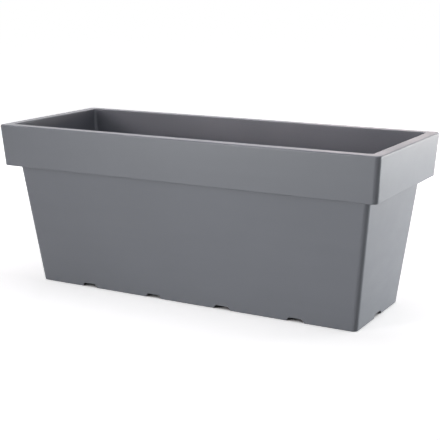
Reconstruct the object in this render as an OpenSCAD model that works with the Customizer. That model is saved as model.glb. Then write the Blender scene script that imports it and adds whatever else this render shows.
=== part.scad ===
// Trough planter: a tapered plastic tub with a wide band round its rim,
// drain holes in a raised floor and a push-in plug for each of them.
// X runs along the length, Y across the width and Z up. The origin is at
// the middle of the base, on the ground.

/* [Overall size] */
// Length over the band
length = 800; // [680:1:1000]
// Width over the band
width = 316; // [260:1:400]
// Height from the ground to the rim
height = 325; // [260:1:420]
// Thickness of every wall, measured level
wall = 3.5; // [2:0.1:4]

/* [Body] */
// Slope of the body's sides from upright, in degrees
body_slope = 6.4; // [3:0.1:8]
// Radius of the body's upright corners
body_corner = 10; // [6:0.5:16]
// Largest rounding of the skirt's bottom edges
foot_edge = 1.2; // [0.4:0.1:2]

/* [Band round the rim] */
// Height of the band
band_height = 82; // [50:1:110]
// Slope of the band's sides from upright, in degrees
band_slope = 3.7; // [1:0.1:5]
// How far the band stands out from the body at its lower edge
band_step = 21.5; // [15:0.5:28]
// Radius of the band's upright corners
band_corner = 10; // [8:0.5:18]
// Rounding of the rim's outer edge
rim_edge = 3; // [1:0.1:5]
// Rounding of the rim's inner edge
mouth_edge = 2; // [1:0.1:4]
// Largest rounding of the band's lower edges
hem_edge = 1.5; // [0.4:0.1:2]

/* [Ribs] */
// Thickness of the ribs under the floor and the gussets in the band
rib_thick = 2.5; // [1.5:0.1:3.5]
// Depth of the gussets below the rim
gusset_depth = 26; // [12:1:40]

/* [Floor] */
// Height of the floor's underside above the ground
floor_lift = 12; // [10:0.5:20]
// Largest rounding between the walls and the floor, inside
floor_fillet = 6; // [2:0.5:12]

/* [Notches in the skirt] */
// Spacing of the four notches along each long side
notch_pitch = 152; // [110:1:168]
// Width of a notch at the ground
notch_width = 36; // [24:1:44]
// Height of a notch
notch_height = 7; // [4:0.5:8]
// How far each flank of a notch leans in
notch_lean = 4.5; // [2:0.5:7]

/* [Drains] */
// Diameter of a drain hole
drain_hole = 14; // [10:0.5:20]
// Depth of the boss round the hole, below the floor
boss_depth = 4; // [2:0.5:6]
// Thickness of the boss's wall
boss_wall = 4; // [3:0.5:6]
// Depth of the recess that the plug's head sits in
seat_depth = 1; // [0.5:0.1:1.5]

/* [Plugs] */
// How far the plug's head reaches past its hole, all round
plug_lip = 6; // [4:0.5:8]
// Thickness of the plug's head
plug_head = 2.5; // [2:0.1:4]
// Gap between the plug and its hole or recess, all round
plug_gap = 0.3; // [0.2:0.05:0.5]
// Thickness of the plug's hollow shank
plug_wall = 2; // [1.5:0.1:3]
// Chamfer that leads the shank into its hole
plug_lead = 1; // [0.5:0.1:1.2]
// How far the shank stops short of the boss's lower end
plug_short = 0.5; // [0:0.1:1]
// Height of the grip on the plug's head
grip_height = 10; // [6:0.5:16]
// Length of the grip
grip_length = 16; // [10:0.5:20]
// Thickness of the grip
grip_thick = 4; // [3:0.5:6]
// Radius of the grip's upper corners
grip_corner = 4; // [1:0.5:5]

/* [Hidden] */

tub_grey = [0.46, 0.47, 0.49];
plug_grey = [0.2, 0.21, 0.22];

// Steps in a quarter round: at an upright corner and along an edge
corner_steps = 6;
edge_steps = 3;
$fn = 64;
// How far a cut runs past the solid
over = 1;
// The sharpest corner that the floor's rounding leaves inside
tight = 0.5;
// The least flat that two roundings leave between them
flat = 0.2;

// Heights
band_bottom = height - band_height;
floor_top = floor_lift + wall;
boss_bottom = floor_lift - boss_depth;
seat_top = floor_top - seat_depth;
head_top = seat_top + plug_head;

// Roundings of the skirt's and the band's lower edges, limited by the wall
foot = min(foot_edge, (wall - flat) / 2);
hem = min(hem_edge, (wall - flat) / 2);

// Radii of a drain and its plug
hole_r = drain_hole / 2;
boss_r = hole_r + boss_wall;
head_r = hole_r + plug_lip;
seat_r = head_r + plug_gap;
shank_r = hole_r - plug_gap;
plug_bottom = boss_bottom + plug_short;

// Places along the length: the notches with the drains behind them, and
// the ribs and gussets between them
notch_places = [for (i = [-1.5:1.5]) i * notch_pitch];
rib_places = [for (i = [-2:2]) i * notch_pitch];
end_gusset_places = [-notch_pitch / 2, notch_pitch / 2];

// How far the outside of the band and of the body stands in from the
// rim's outline at height z
function band_in(z) = (height - rim_edge - z) * tan(band_slope);
function body_in(z) = band_in(band_bottom) + band_step + (band_bottom - z) * tan(body_slope);

// An outline is [distance in, height, corner radius]. A bend is the run of
// outlines round an edge of radius r, from one angle to another. Its middle
// is given, and 0 degrees points outwards
function bend(inset, z, corner, r, from, to) = [
    for (i = [0:edge_steps])
        let (a = from + (to - from) * i / edge_steps)
            [inset - r * cos(a), z + r * sin(a), corner + r * cos(a)]
];

// The points of one outline, a rectangle with rounded corners
function outline(inset, z, corner) = [
    for (q = [[1, 1, 0], [-1, 1, 90], [-1, -1, 180], [1, -1, 270]], i = [0:corner_steps])
        let (a = q[2] + 90 * i / corner_steps)
            [q[0] * (length / 2 - inset - corner) + corner * cos(a),
             q[1] * (width / 2 - inset - corner) + corner * sin(a),
             z]
];

// A solid skinned over outlines, which run with the solid on their left. It
// is closed by a flat face at each end, or back on itself as a frame
module skin(outlines, frame = false) {
    n = 4 * (corner_steps + 1);
    count = len(outlines);
    sides = [
        for (k = [0:frame ? count - 1 : count - 2], i = [0:n - 1])
            let (j = (i + 1) % n, up = (k + 1) % count)
                [k * n + i, up * n + i, up * n + j, k * n + j]
    ];
    ends = [[for (i = [0:n - 1]) i], [for (i = [n - 1:-1:0]) (count - 1) * n + i]];
    polyhedron([for (o = outlines) each outline(o[0], o[1], o[2])],
               concat(sides, frame ? [] : ends), convexity = 8);
}

// The moulded shell as one run of outlines: from the floor's underside down
// the skirt, up the body, under and round the band, and down to the floor
module shell() {
    inner = body_corner - wall;
    fillet = min(floor_fillet, inner - tight);
    under_rim = height - wall;
    fillet_z = floor_top + fillet;
    skin(concat(
        [[body_in(floor_lift) + wall, floor_lift, inner]],
        bend(body_in(foot) + wall - foot, foot, inner + foot, foot, 180, 270),
        bend(body_in(foot) + foot, foot, body_corner - foot, foot, -90, 0),
        [[body_in(under_rim), under_rim, body_corner]],
        [[band_in(under_rim) + wall, under_rim, band_corner - wall]],
        bend(band_in(band_bottom + hem) + wall - hem, band_bottom + hem, band_corner - wall + hem, hem, 180, 270),
        bend(band_in(band_bottom + hem) + hem, band_bottom + hem, band_corner - hem, hem, -90, 0),
        bend(rim_edge, height - rim_edge, band_corner - rim_edge, rim_edge, 0, 90),
        bend(body_in(height - mouth_edge) + wall - mouth_edge, height - mouth_edge,
             inner + mouth_edge, mouth_edge, 90, 180),
        bend(body_in(fillet_z) + wall + fillet, fillet_z, inner - fillet, fillet, 0, -90)
    ));
}

// Ribs across the space under the floor, ending inside the skirt's wall
module floor_ribs() {
    top = floor_lift + wall / 2;
    intersection() {
        skin([for (z = [0, top]) [body_in(z) + wall / 2, z, body_corner - wall / 2]]);
        for (x = rib_places)
            translate([x - rib_thick / 2, -width / 2, 0]) cube([rib_thick, width, top]);
    }
}

// Gussets across the hollow of the band, up under the rim
module gussets() {
    top = height - wall / 2;
    low = height - wall - gusset_depth;
    intersection() {
        skin([for (o = [[1, low], [0, low], [0, top], [1, top]])
            [(o[0] == 1 ? body_in(o[1]) : band_in(o[1])) + wall / 2, o[1],
             (o[0] == 1 ? body_corner : band_corner) - wall / 2]], frame = true);
        union() {
            for (x = rib_places)
                translate([x - rib_thick / 2, -width / 2, low]) cube([rib_thick, width, top - low]);
            for (y = end_gusset_places)
                translate([-length / 2, y - rib_thick / 2, low]) cube([length, rib_thick, top - low]);
        }
    }
}

// A trapezium cut through both of the skirt's walls that lie span apart
module notch_pair(span) {
    flare = over * notch_lean / notch_height;
    reach = body_in(0) - body_in(notch_height) + 3 * wall;
    for (side = [-1, 1])
        translate([0, side * (span / 2 - wall / 2), 0]) rotate([90, 0, 0])
            linear_extrude(height = reach, center = true)
                polygon([[-notch_width / 2 - flare, -over], [notch_width / 2 + flare, -over],
                         [notch_width / 2 - notch_lean, notch_height],
                         [notch_lean - notch_width / 2, notch_height]]);
}

module notches() {
    for (x = notch_places)
        translate([x, 0, 0]) notch_pair(width - 2 * body_in(0));
    rotate([0, 0, 90]) notch_pair(length - 2 * body_in(0));
}

module drain_bosses() {
    for (x = notch_places)
        translate([x, 0, boss_bottom]) cylinder(r = boss_r, h = boss_depth + wall / 2);
}

module drain_holes() {
    for (x = notch_places) translate([x, 0, 0]) {
        translate([0, 0, boss_bottom - over]) cylinder(r = hole_r, h = floor_top - boss_bottom + 2 * over);
        translate([0, 0, seat_top]) cylinder(r = seat_r, h = seat_depth + over);
    }
}

module tub() {
    color(tub_grey) difference() {
        union() {
            shell();
            floor_ribs();
            gussets();
            drain_bosses();
        }
        notches();
        drain_holes();
    }
}

// The grip is an upright tab with rounded upper corners
module plug_grip() {
    side = grip_length / 2 - grip_corner;
    translate([0, grip_thick / 2, head_top]) rotate([90, 0, 0]) linear_extrude(height = grip_thick) {
        translate([-grip_length / 2, 0]) square([grip_length, grip_height - grip_corner]);
        translate([-side, 0]) square([2 * side, grip_height]);
        for (s = [-1, 1]) translate([s * side, grip_height - grip_corner]) circle(r = grip_corner);
    }
}

// A plug in its hole: head, hollow shank open below, and grip
module drain_plug(index) {
    color(plug_grey) translate([notch_places[index - 1], 0, 0]) union() {
        rotate_extrude() polygon([
            [0, seat_top], [shank_r - plug_wall, seat_top], [shank_r - plug_wall, plug_bottom],
            [shank_r - plug_lead, plug_bottom], [shank_r, plug_bottom + plug_lead], [shank_r, seat_top],
            [head_r, seat_top], [head_r, head_top], [0, head_top]
        ]);
        plug_grip();
    }
}

tub();
for (i = [1:4]) drain_plug(i);
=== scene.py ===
import math

import bmesh
import bpy
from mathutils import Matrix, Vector


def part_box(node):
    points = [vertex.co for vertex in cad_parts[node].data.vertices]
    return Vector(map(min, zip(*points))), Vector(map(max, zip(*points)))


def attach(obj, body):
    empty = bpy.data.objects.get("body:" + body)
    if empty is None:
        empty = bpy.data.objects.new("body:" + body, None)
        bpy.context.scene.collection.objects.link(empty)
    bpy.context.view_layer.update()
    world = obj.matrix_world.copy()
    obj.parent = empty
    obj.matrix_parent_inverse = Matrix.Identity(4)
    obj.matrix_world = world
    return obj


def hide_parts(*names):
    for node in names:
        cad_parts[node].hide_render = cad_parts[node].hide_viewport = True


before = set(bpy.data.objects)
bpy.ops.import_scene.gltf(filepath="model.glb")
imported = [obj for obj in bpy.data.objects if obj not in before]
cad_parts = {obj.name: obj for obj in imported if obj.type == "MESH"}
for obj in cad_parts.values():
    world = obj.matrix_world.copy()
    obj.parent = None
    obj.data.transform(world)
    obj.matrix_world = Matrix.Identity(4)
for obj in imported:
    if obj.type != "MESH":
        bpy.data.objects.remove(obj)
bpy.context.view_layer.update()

# A trough planter in metres: the moulded tub and its drain plugs. X runs
# along the length, Y across the width and Z up from the ground.
MM = 0.001

# Overall size, from the frame
tub_low, tub_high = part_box("tub")
LENGTH = tub_high.x - tub_low.x
WIDTH = tub_high.y - tub_low.y
HEIGHT = tub_high.z

# The tub's and the plugs' other sizes
WALL = 3.5 * MM
BODY_SLOPE = math.tan(math.radians(6.4))
BODY_CORNER = 10.0 * MM
FOOT_EDGE = 1.2 * MM
BAND_HEIGHT = 82.0 * MM
BAND_SLOPE = math.tan(math.radians(3.7))
BAND_STEP = 21.5 * MM
BAND_CORNER = 10.0 * MM
RIM_EDGE = 3.0 * MM
MOUTH_EDGE = 2.0 * MM
HEM_EDGE = 1.5 * MM
RIB_THICK = 2.5 * MM
RIB_DRAFT = 0.3 * MM
RIB_SHORT = 0.1 * MM
GUSSET_DEPTH = 26.0 * MM
FLOOR_LIFT = 12.0 * MM
FLOOR_FILLET = 6.0 * MM
LEAST_FLOOR_CORNER = 0.5 * MM
NOTCH_COUNT = 4
NOTCH_PITCH = 152.0 * MM
NOTCH_WIDTH = 36.0 * MM
NOTCH_HEIGHT = 7.0 * MM
NOTCH_LEAN = 4.5 * MM
NOTCH_SOFT = 0.3
DRAIN_RADIUS = 7.0 * MM
BOSS_DEPTH = 4.0 * MM
BOSS_WALL = 4.0 * MM
SEAT_DEPTH = 1.0 * MM
SEAT_EDGE = 0.3 * MM
PLUG_LIP = 6.0 * MM
PLUG_HEAD = 2.5 * MM
PLUG_HEAD_EDGE = 0.8 * MM
PLUG_GAP = 0.3 * MM
PLUG_WALL = 2.0 * MM
PLUG_LEAD = 1.0 * MM
PLUG_SHORT = 0.5 * MM
GRIP_HEIGHT = 10.0 * MM
GRIP_LENGTH = 16.0 * MM
GRIP_THICK = 4.0 * MM
GRIP_CORNER = 4.0 * MM
GRIP_EDGE = 0.7 * MM

# Sizes that follow from them
BAND_BOTTOM = HEIGHT - BAND_HEIGHT
FLOOR_TOP = FLOOR_LIFT + WALL
BOSS_BOTTOM = FLOOR_LIFT - BOSS_DEPTH
SEAT_TOP = FLOOR_TOP - SEAT_DEPTH
HEAD_TOP = SEAT_TOP + PLUG_HEAD
HEAD_RADIUS = DRAIN_RADIUS + PLUG_LIP
SEAT_RADIUS = HEAD_RADIUS + PLUG_GAP
SHANK_RADIUS = DRAIN_RADIUS - PLUG_GAP
PLUG_BOTTOM = BOSS_BOTTOM + PLUG_SHORT
FILLET = min(FLOOR_FILLET, BODY_CORNER - WALL - LEAST_FLOOR_CORNER)

# How finely corners, edges and turned shapes are rounded
CORNER_STEPS = 10
EDGE_STEPS = 5
GRIP_EDGE_STEPS = 3
ROUND_STEPS = 64
# How many cuts round a notch's bend lie to each side of its middle
BEND_CUTS = 2
# Two points closer than this are one
SAME = 0.002 * MM
# Edges that turn by more than this stay crisp
CRISP = math.radians(35)

# Places along the length: the notches with the drains behind them, and the
# ribs and gussets between them
notch_places = [(i - (NOTCH_COUNT - 1) / 2) * NOTCH_PITCH for i in range(NOTCH_COUNT)]
rib_places = [(i - NOTCH_COUNT / 2) * NOTCH_PITCH for i in range(NOTCH_COUNT + 1)]
end_gusset_places = [-NOTCH_PITCH / 2, NOTCH_PITCH / 2]


def band_in(z):
    """How far in from the rim's outline the outside of the band stands at height z."""
    return (HEIGHT - RIM_EDGE - z) * BAND_SLOPE


def body_in(z):
    """How far in from the rim's outline the outside of the body stands at height z."""
    return band_in(BAND_BOTTOM) + BAND_STEP + (BAND_BOTTOM - z) * BODY_SLOPE


def bend(inset, z, corner, radius, start, end):
    """Outlines round an edge, each (distance in, height, corner radius). 0 degrees points out."""
    run = []
    for i in range(EDGE_STEPS + 1):
        angle = math.radians(start + (end - start) * i / EDGE_STEPS)
        out = radius * math.cos(angle)
        run.append((inset - out, z + radius * math.sin(angle), corner + out))
    return run


def outline(bm, inset, z, corner):
    """One outline as a flat face: a rectangle with rounded corners."""
    sheet = bmesh.ops.create_grid(bm, x_segments=1, y_segments=1, size=1.0)["verts"]
    bmesh.ops.scale(bm, vec=(LENGTH / 2 - inset, WIDTH / 2 - inset, 1.0), verts=sheet)
    bmesh.ops.translate(bm, vec=(0, 0, z), verts=sheet)
    corners = bmesh.ops.bevel(bm, geom=sheet, offset=corner, offset_type="OFFSET",
                              affect="VERTICES", segments=CORNER_STEPS, profile=0.5,
                              material=-1)["verts"]
    return corners[0].link_faces[0]


def tub_shell(bm):
    """The tub's skin, from under the floor down the skirt, up and round the band, and back in."""
    inner = BODY_CORNER - WALL
    under_rim = HEIGHT - WALL
    foot = body_in(FOOT_EDGE)
    hem_z = BAND_BOTTOM + HEM_EDGE
    hem = band_in(hem_z)
    mouth_z = HEIGHT - MOUTH_EDGE
    fillet_z = FLOOR_TOP + FILLET
    outlines = [
        (body_in(FLOOR_LIFT) + WALL, FLOOR_LIFT, inner),
        *bend(foot + WALL - FOOT_EDGE, FOOT_EDGE, inner + FOOT_EDGE, FOOT_EDGE, 180, 270),
        *bend(foot + FOOT_EDGE, FOOT_EDGE, BODY_CORNER - FOOT_EDGE, FOOT_EDGE, -90, 0),
        (body_in(under_rim), under_rim, BODY_CORNER),
        (band_in(under_rim) + WALL, under_rim, BAND_CORNER - WALL),
        *bend(hem + WALL - HEM_EDGE, hem_z, BAND_CORNER - WALL + HEM_EDGE, HEM_EDGE, 180, 270),
        *bend(hem + HEM_EDGE, hem_z, BAND_CORNER - HEM_EDGE, HEM_EDGE, -90, 0),
        *bend(RIM_EDGE, HEIGHT - RIM_EDGE, BAND_CORNER - RIM_EDGE, RIM_EDGE, 0, 90),
        *bend(body_in(mouth_z) + WALL - MOUTH_EDGE, mouth_z, inner + MOUTH_EDGE, MOUTH_EDGE, 90, 180),
        *bend(body_in(fillet_z) + WALL + FILLET, fillet_z, inner - FILLET, FILLET, 0, -90),
    ]
    faces = [outline(bm, inset, i, corner) for i, (inset, z, corner) in enumerate(outlines)]
    loops = [list(f.edges) for f in faces]
    bmesh.ops.delete(bm, geom=faces[1:-1], context="FACES_ONLY")
    for low, high in zip(loops, loops[1:]):
        bmesh.ops.bridge_loops(bm, edges=low + high)
    # The outlines were stacked apart to be bridged, and now take their own heights
    for v in bm.verts:
        v.co.z = outlines[round(v.co.z)][1]
    bmesh.ops.recalc_face_normals(bm, faces=bm.faces)


def eased(share):
    """A ramp from 0 to 1 whose two bends are rounded over NOTCH_SOFT to each side."""
    if share > 0.5:
        return 1.0 - eased(1.0 - share)
    if share <= -NOTCH_SOFT:
        return 0.0
    if share < NOTCH_SOFT:
        return (share + NOTCH_SOFT) ** 2 / (4 * NOTCH_SOFT)
    return share


def notches(bm):
    """Lifts the skirt's bottom edge into a trapezium at each notch, along the wall's slope."""
    cuts = range(-BEND_CUTS, BEND_CUTS + 1)
    shares = [end + NOTCH_SOFT * k / BEND_CUTS for end in (0, 1) for k in cuts]
    offsets = [NOTCH_WIDTH / 2 - NOTCH_LEAN * share for share in shares]
    for axis, places, half in ((0, notch_places, WIDTH / 2), (1, [0.0], LENGTH / 2)):
        along = Vector((1 - axis, axis, 0))
        skirt_from = half - body_in(0) - 2 * WALL
        for place in places:
            for offset in offsets:
                for side in (-1, 1):
                    whole = bm.verts[:] + bm.edges[:] + bm.faces[:]
                    bmesh.ops.bisect_plane(bm, geom=whole, dist=SAME, plane_no=along,
                                           plane_co=along * (place + side * offset))
            for v in bm.verts:
                across = v.co[1 - axis]
                if v.co.z < FLOOR_LIFT - SAME and abs(across) > skirt_from:
                    inside = NOTCH_WIDTH / 2 - abs(v.co[axis] - place)
                    rise = NOTCH_HEIGHT * eased(inside / NOTCH_LEAN)
                    v.co.z += rise
                    v.co[1 - axis] += math.copysign(rise * BODY_SLOPE, across)


def web(bm, place, axis, ends):
    """A thin upright wall across axis. ends are its two ends, each (across, low, high, lean).

    lean is how much further across the end's top stands than its foot.
    """
    for v in bmesh.ops.create_cube(bm, size=1.0)["verts"]:
        across, low, high, lean = ends[v.co.y > 0]
        half = RIB_THICK / 2
        z = high
        if v.co.z < 0:
            half -= RIB_DRAFT
            z = low
            lean = 0.0
        along = place + math.copysign(half, v.co.x)
        across += lean
        v.co = (along, across, z) if axis == 0 else (across, along, z)


def ribs_and_gussets(bm):
    """Ribs under the floor, and gussets in the band's hollow, all ending inside the walls."""
    rib_top = FLOOR_LIFT + WALL / 2
    reach = WIDTH / 2 - body_in(0) - WALL / 2
    lean = rib_top * BODY_SLOPE
    for place in rib_places:
        web(bm, place, 0, [(-reach, RIB_SHORT, rib_top, -lean), (reach, RIB_SHORT, rib_top, lean)])
    low = HEIGHT - WALL - GUSSET_DEPTH
    high = HEIGHT - WALL / 2
    for axis, places, half in ((0, rib_places, WIDTH / 2), (1, end_gusset_places, LENGTH / 2)):
        near = half - body_in(low) - WALL / 2
        far = half - band_in(low) - WALL / 2
        for place in places:
            for side in (-1, 1):
                web(bm, place, axis, [(side * near, low, high, side * (high - low) * BODY_SLOPE),
                                      (side * far, low, high, side * (high - low) * BAND_SLOPE)])
    bmesh.ops.recalc_face_normals(bm, faces=bm.faces)


def turned(bm, profile):
    """A solid turned about the upright axis. profile is (radius, height) points, axis to axis."""
    verts = [bm.verts.new((radius, 0, z)) for radius, z in profile]
    edges = [bm.edges.new(pair) for pair in zip(verts, verts[1:])]
    bmesh.ops.spin(bm, geom=verts + edges, cent=(0, 0, 0), axis=(0, 0, 1), dvec=(0, 0, 0),
                   angle=2 * math.pi, steps=ROUND_STEPS, use_merge=True)
    bmesh.ops.remove_doubles(bm, verts=bm.verts, dist=SAME)
    bmesh.ops.recalc_face_normals(bm, faces=bm.faces)


def rounded(radius, z, edge, start, end):
    """Points round a turned edge. radius and z are the middle of the round."""
    points = []
    for i in range(EDGE_STEPS + 1):
        angle = math.radians(start + (end - start) * i / EDGE_STEPS)
        points.append((radius + edge * math.cos(angle), z + edge * math.sin(angle)))
    return points


def at_drains(bm):
    """Copies what bm holds to each drain."""
    first = bm.verts[:] + bm.edges[:] + bm.faces[:]
    for x in notch_places[1:]:
        copy = bmesh.ops.duplicate(bm, geom=first)["geom"]
        moved = [v for v in copy if isinstance(v, bmesh.types.BMVert)]
        bmesh.ops.translate(bm, vec=(x - notch_places[0], 0, 0), verts=moved)
    bmesh.ops.translate(bm, vec=(notch_places[0], 0, 0), verts=bm.verts)


def drain_bosses(bm):
    """A boss under the floor round each drain hole."""
    radius = DRAIN_RADIUS + BOSS_WALL
    top = FLOOR_LIFT + WALL / 2
    turned(bm, [(0, BOSS_BOTTOM),
                *rounded(radius - SEAT_EDGE, BOSS_BOTTOM + SEAT_EDGE, SEAT_EDGE, -90, 0),
                (radius, top), (0, top)])
    at_drains(bm)


def drain_cuts(bm):
    """What is cut away at each drain: the hole, and the recess for the plug's head."""
    above = FLOOR_TOP + WALL
    turned(bm, [(0, 0), (DRAIN_RADIUS, 0),
                *rounded(DRAIN_RADIUS + SEAT_EDGE, SEAT_TOP - SEAT_EDGE, SEAT_EDGE, 180, 90),
                (SEAT_RADIUS, SEAT_TOP),
                *rounded(SEAT_RADIUS + SEAT_EDGE, FLOOR_TOP - SEAT_EDGE, SEAT_EDGE, 180, 90),
                (SEAT_RADIUS + SEAT_EDGE, above), (0, above)])
    at_drains(bm)


def plug_body(bm):
    """A plug's head, and its hollow shank open below."""
    bore = SHANK_RADIUS - PLUG_WALL
    edge = PLUG_HEAD_EDGE
    turned(bm, [(0, SEAT_TOP), (bore, SEAT_TOP), (bore, PLUG_BOTTOM),
                (SHANK_RADIUS - PLUG_LEAD, PLUG_BOTTOM), (SHANK_RADIUS, PLUG_BOTTOM + PLUG_LEAD),
                (SHANK_RADIUS, SEAT_TOP), (HEAD_RADIUS, SEAT_TOP),
                *rounded(HEAD_RADIUS - edge, HEAD_TOP - edge, edge, 0, 90),
                (0, HEAD_TOP)])


def plug_grip(bm):
    """The upright tab on a plug, rounded at its upper corners and along its edges."""
    sunk = PLUG_HEAD / 2
    made = bmesh.ops.create_cube(bm, size=1.0)["verts"]
    bmesh.ops.scale(bm, vec=(GRIP_LENGTH, GRIP_THICK, GRIP_HEIGHT + sunk), verts=made)
    bmesh.ops.translate(bm, vec=(0, 0, HEAD_TOP + (GRIP_HEIGHT - sunk) / 2), verts=made)
    upper = [e for e in bm.edges
             if all(v.co.z > HEAD_TOP for v in e.verts)
             and abs(e.verts[0].co.x - e.verts[1].co.x) < SAME]
    bmesh.ops.bevel(bm, geom=upper, offset=GRIP_CORNER, offset_type="OFFSET", affect="EDGES",
                    segments=CORNER_STEPS, profile=0.5, material=-1)
    rim = [e for e in bm.edges if e.calc_face_angle(0.0) > CRISP]
    bmesh.ops.bevel(bm, geom=rim, offset=GRIP_EDGE, offset_type="OFFSET", affect="EDGES",
                    segments=GRIP_EDGE_STEPS, profile=0.5, material=-1)


def object_from(name, *shapes):
    """An object made by shape functions, which draw into one mesh."""
    bm = bmesh.new()
    for shape in shapes:
        shape(bm)
    mesh = bpy.data.meshes.new(name)
    bm.to_mesh(mesh)
    bm.free()
    made = bpy.data.objects.new(name, mesh)
    bpy.context.scene.collection.objects.link(made)
    return made


def combine(base, operation, shape):
    """Joins a shape to base or cuts it away, for good."""
    other = object_from("shape", shape)
    step = base.modifiers.new("combine", "BOOLEAN")
    step.operation = operation
    step.solver = "EXACT"
    step.object = other
    done = base.evaluated_get(bpy.context.evaluated_depsgraph_get())
    result = bpy.data.meshes.new_from_object(done)
    result.name = base.name
    base.modifiers.clear()
    base.data = result
    bpy.data.objects.remove(other)
    bm = bmesh.new()
    bm.from_mesh(result)
    bmesh.ops.remove_doubles(bm, verts=bm.verts, dist=SAME)
    bm.to_mesh(result)
    bm.free()


def finish_piece(piece, material, body, node):
    """Gives a piece its shading, material and body, and lets it stand for its CAD node."""
    mesh = piece.data
    mesh.materials.clear()
    mesh.materials.append(material)
    mesh.shade_smooth()
    mesh.set_sharp_from_angle(angle=CRISP)
    even = piece.modifiers.new("even_shading", "WEIGHTED_NORMAL")
    even.keep_sharp = True
    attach(piece, body)
    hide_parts(node)


def output(tree, kind, name, inputs, **settings):
    """Adds a node to a tree, sets or links its inputs, and returns its output of that name."""
    node = tree.nodes.new(kind)
    for setting, value in settings.items():
        setattr(node, setting, value)
    for socket, value in inputs.items():
        if isinstance(value, bpy.types.NodeSocket):
            tree.links.new(value, node.inputs[socket])
        else:
            node.inputs[socket].default_value = value
    return node.outputs[name]


# The plastics' colours, and how strong the fine grain is on each
TUB_GREY = (0.219, 0.232, 0.261, 1.0)
TUB_GRAIN = 0.3
PLUG_GREY = (0.045, 0.047, 0.050, 1.0)
PLUG_GRAIN = 0.15
# What both plastics share. A spread is how far a value strays to each side.
PLASTIC_IOR = 1.49
PLASTIC_ROUGHNESS = 0.38
ROUGHNESS_SPREAD = 0.04
TONE_SPREAD = 0.025
FLOW_MARK_SPREAD = 0.012
WAVE_STRENGTH = 0.15
WAVE_HEIGHT = 1.0 * MM
GRAIN_HEIGHT = 0.1 * MM
# How many patches of each there are to a metre, along X, Y and Z
TONE_PATCHES = (5.0, 5.0, 5.0)
FLOW_MARK_PATCHES = (4.0, 14.0, 40.0)
GLOSS_PATCHES = (14.0, 14.0, 30.0)
WAVE_PATCHES = (7.0, 7.0, 7.0)
GRAIN_PATCHES = (1100.0, 1100.0, 1100.0)
# Nearly all of the noise lies between these
NOISE_LOW = 0.3
NOISE_HIGH = 0.7


def clouds(tree, place, patches, detail, low, high):
    """Soft noise between low and high, with so many patches to a metre along each axis."""
    vector = output(tree, "ShaderNodeMapping", "Vector", {"Vector": place, "Scale": patches})
    noise = output(tree, "ShaderNodeTexNoise", "Fac",
                   {"Vector": vector, "Scale": 1.0, "Detail": detail})
    return output(tree, "ShaderNodeMapRange", "Result",
                  {"Value": noise, "From Min": NOISE_LOW, "From Max": NOISE_HIGH,
                   "To Min": low, "To Max": high})


def spread_clouds(tree, place, patches, detail, middle, spread):
    """Soft noise that strays from the middle by up to spread."""
    return clouds(tree, place, patches, detail, middle - spread, middle + spread)


def moulded_plastic(name, colour, grain):
    """Moulded plastic: fine matt grain, faint flow marks, and slight clouds in tone and gloss."""
    material = bpy.data.materials.new(name)
    material.use_nodes = True
    tree = material.node_tree
    shader = tree.nodes["Principled BSDF"]
    place = output(tree, "ShaderNodeTexCoord", "Object", {})
    tone = spread_clouds(tree, place, TONE_PATCHES, detail=3.0, middle=1.0, spread=TONE_SPREAD)
    marks = spread_clouds(tree, place, FLOW_MARK_PATCHES, detail=4.0, middle=1.0,
                          spread=FLOW_MARK_SPREAD)
    value = output(tree, "ShaderNodeMath", "Value", {0: tone, 1: marks}, operation="MULTIPLY")
    shade = output(tree, "ShaderNodeHueSaturation", "Color", {"Color": colour, "Value": value})
    tree.links.new(shade, shader.inputs["Base Color"])
    gloss = spread_clouds(tree, place, GLOSS_PATCHES, detail=4.0, middle=PLASTIC_ROUGHNESS,
                          spread=ROUGHNESS_SPREAD)
    tree.links.new(gloss, shader.inputs["Roughness"])
    shader.inputs["IOR"].default_value = PLASTIC_IOR
    waves = clouds(tree, place, WAVE_PATCHES, detail=1.0, low=0.0, high=1.0)
    wavy = output(tree, "ShaderNodeBump", "Normal",
                  {"Height": waves, "Strength": WAVE_STRENGTH, "Distance": WAVE_HEIGHT})
    pits = clouds(tree, place, GRAIN_PATCHES, detail=2.0, low=0.0, high=1.0)
    rough = output(tree, "ShaderNodeBump", "Normal",
                   {"Height": pits, "Strength": grain, "Distance": GRAIN_HEIGHT, "Normal": wavy})
    tree.links.new(rough, shader.inputs["Normal"])
    return material


tub_plastic = moulded_plastic("tub_plastic", TUB_GREY, TUB_GRAIN)
plug_plastic = moulded_plastic("plug_plastic", PLUG_GREY, PLUG_GRAIN)

# The tub
tub = object_from("planter_tub", tub_shell, notches)
combine(tub, "UNION", ribs_and_gussets)
combine(tub, "UNION", drain_bosses)
combine(tub, "DIFFERENCE", drain_cuts)
finish_piece(tub, tub_plastic, "tub", "tub")

# The plugs, each in its drain
for i, x in enumerate(notch_places, start=1):
    plug = object_from(f"plug_{i}", plug_body)
    combine(plug, "UNION", plug_grip)
    for v in plug.data.vertices:
        v.co.x += x
    finish_piece(plug, plug_plastic, f"drain_plug_{i}", f"drain_plug_{i}")


def soft_box(name, place, target, size, power, tint, spread=180.0):
    """A rectangular soft light that faces target and isn't seen itself.

    power is in watts, and spread is the beam's width in degrees.
    """
    light = bpy.data.lights.new(name, "AREA")
    light.shape = "RECTANGLE"
    light.size, light.size_y = size
    light.energy = power
    light.color = tint
    light.spread = math.radians(spread)
    box = bpy.data.objects.new(name, light)
    box.location = place
    box.rotation_euler = (Vector(target) - Vector(place)).to_track_quat("-Z", "Y").to_euler()
    box.visible_camera = False
    bpy.context.scene.collection.objects.link(box)


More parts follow.
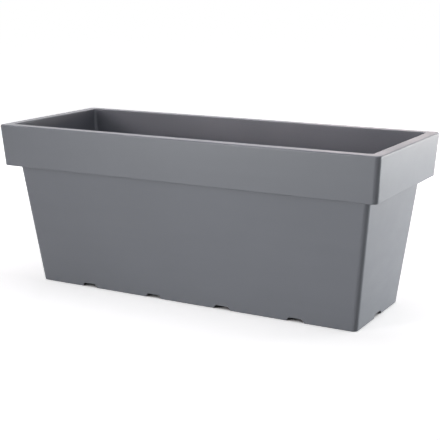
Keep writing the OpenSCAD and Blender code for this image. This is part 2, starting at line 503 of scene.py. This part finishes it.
# Three soft lights from the front
soft_box("front_box", place=(-0.98, -2.4, 0.22), target=(0.4, -0.15, 0.2), size=(0.9, 0.35),
         power=3.0, tint=(0.96, 1.0, 0.965), spread=65.0)
soft_box("front_spot", place=(-1.5, -2.6, 0.8), target=(0.3, -0.15, 0.1), size=(0.6, 0.5),
         power=1.16, tint=(1.0, 0.90, 0.95), spread=45.0)
soft_box("front_high_box", place=(-1.2, -2.3, 1.4), target=(0.2, -0.1, 0.2), size=(1.0, 0.6),
         power=6.25, tint=(0.99, 0.958, 1.0))
# Two on the bright right end
soft_box("right_box", place=(1.79, 1.39, 0.2), target=(0.38, 0.0, 0.15), size=(0.5, 0.38),
         power=4.9, tint=(0.93, 0.98, 1.0), spread=70.0)
soft_box("right_back_box", place=(0.95, 1.1, 0.3), target=(0.4, 0.0, 0.2), size=(0.5, 0.35),
         power=1.45, tint=(1.0, 0.93, 0.87), spread=120.0)
# The rest light the rim, the inside, the back and the left end
soft_box("back_low_box", place=(0.0, 2.0, 0.6), target=(0.0, 0.0, 0.2), size=(1.4, 0.7),
         power=4.1, tint=(1.0, 0.82, 0.80))
soft_box("back_left_high_box", place=(-1.0, 1.732, 1.5), target=(0.0, 0.0, 0.2), size=(1.4, 0.9),
         power=8.1, tint=(0.985, 0.91, 1.0))
soft_box("back_right_high_box", place=(1.0, 2.0, 1.5), target=(0.0, 0.0, 0.2), size=(1.4, 0.9),
         power=5.4, tint=(0.98, 0.915, 1.0))
soft_box("left_box", place=(-1.7, 0.7, 0.5), target=(-0.3, 0.0, 0.2), size=(0.9, 0.6),
         power=3.6, tint=(0.99, 0.99, 1.0))
soft_box("top_box", place=(0.0, 0.0, 2.6), target=(0.0, 0.0, 0.3), size=(1.4, 1.0),
         power=18.5, tint=(0.98, 0.955, 1.0))

WHITE = (1.0, 1.0, 1.0, 1.0)


def seen(tree):
    """1 for rays from the camera, also mirrored ones and ones through glass, and 0 for the rest."""
    paths = tree.nodes.new("ShaderNodeLightPath").outputs
    direct = output(tree, "ShaderNodeMath", "Value",
                    {0: paths["Is Camera Ray"], 1: paths["Is Glossy Ray"]}, operation="MAXIMUM")
    return output(tree, "ShaderNodeMath", "Value",
                  {0: direct, 1: paths["Is Transmission Ray"]}, operation="MAXIMUM")


# The room: white where it is seen or mirrored, and no other light of its own
world = bpy.data.worlds.new("room")
bpy.context.scene.world = world
world.use_nodes = True
backdrop = world.node_tree.nodes["Background"]
backdrop.inputs["Color"].default_value = WHITE
world.node_tree.links.new(seen(world.node_tree), backdrop.inputs["Strength"])

# The floor, which lies just below the foot: grey to the lamps, and white where it is seen
FLOOR_RADIUS = 60.0
FLOOR_DROP = 0.1 * MM
FLOOR_GREY = (0.35, 0.35, 0.35, 1.0)
FLOOR_WHITE = (0.8, 0.8, 0.8, 1.0)
FLOOR_ROUGHNESS = 0.9
# Its glow near the object and far off, and the distances from the middle where it grows
GLOW_NEAR = 0.68
GLOW_FAR = 1.0
GLOW_GROWS_FROM = 0.6
GLOW_GROWS_TO = 1.8
# The painted shade at the foot, which dims the floor's glow: how near a thing shades the floor, and
# how open the floor is where the shade is full and where it ends
SHADE_REACH = 60.0 * MM
SHADE_FULL = 0.05
SHADE_END = 0.6
SHADE_SAMPLES = 16


def floor_disc(bm):
    """A wide round floor."""
    bmesh.ops.create_circle(bm, cap_ends=True, segments=ROUND_STEPS, radius=FLOOR_RADIUS)
    bmesh.ops.translate(bm, vec=(0, 0, -FLOOR_DROP), verts=bm.verts)


def floor_paint():
    """Grey to the lamps, and white where it is seen, keeping the lamps' real shadow and adding
    painted shade under and round the object's foot.
    """
    material = bpy.data.materials.new("floor_paint")
    material.use_nodes = True
    tree = material.node_tree
    shader = tree.nodes["Principled BSDF"]
    shader.inputs["Roughness"].default_value = FLOOR_ROUGHNESS
    shader.inputs["Specular IOR Level"].default_value = 0.0
    shader.inputs["Emission Color"].default_value = WHITE
    shown = seen(tree)
    paint = output(tree, "ShaderNodeMix", "Result",
                   {"Factor": shown, "A": FLOOR_GREY, "B": FLOOR_WHITE}, data_type="RGBA")
    tree.links.new(paint, shader.inputs["Base Color"])
    place = output(tree, "ShaderNodeTexCoord", "Object", {})
    away = output(tree, "ShaderNodeVectorMath", "Value", {0: place}, operation="LENGTH")
    glow = output(tree, "ShaderNodeMapRange", "Result",
                  {"Value": away, "From Min": GLOW_GROWS_FROM, "From Max": GLOW_GROWS_TO,
                   "To Min": GLOW_NEAR, "To Max": GLOW_FAR}, interpolation_type="SMOOTHSTEP")
    # Painted shade: the glow fades where the floor is closed in, under the object and at its foot, on
    # top of the real shadow the lamps cast
    openness = output(tree, "ShaderNodeAmbientOcclusion", "AO", {"Distance": SHADE_REACH},
                      samples=SHADE_SAMPLES)
    unshaded = output(tree, "ShaderNodeMapRange", "Result",
                      {"Value": openness, "From Min": SHADE_FULL, "From Max": SHADE_END},
                      interpolation_type="SMOOTHSTEP")
    glow_left = output(tree, "ShaderNodeMath", "Value", {0: glow, 1: unshaded},
                       operation="MULTIPLY")
    glow_shown = output(tree, "ShaderNodeMath", "Value", {0: glow_left, 1: shown},
                        operation="MULTIPLY")
    tree.links.new(glow_shown, shader.inputs["Emission Strength"])
    return material


floor = object_from("floor", floor_disc)
floor.data.materials.append(floor_paint())

# The camera stands where the photograph was taken from. Its angles are in degrees: how far it
# looks down, how far it is turned to the left, and its roll.
CAMERA_PLACE = (0.9870, -1.7374, 0.6100)
CAMERA_DOWN = 13.16
CAMERA_TURN = 29.243
CAMERA_ROLL = -0.128
LENS = 85.34
SENSOR = 36.0
camera = bpy.data.objects.new("camera", bpy.data.cameras.new("camera"))
camera.location = CAMERA_PLACE
camera.rotation_euler = (math.radians(90 - CAMERA_DOWN), 0.0, math.radians(CAMERA_TURN))
camera.rotation_euler.rotate_axis("Z", math.radians(CAMERA_ROLL))
camera.data.lens = LENS
camera.data.sensor_width = SENSOR
bpy.context.scene.collection.objects.link(camera)
bpy.context.scene.camera = camera

bpy.context.scene.view_settings.view_transform = "Standard"
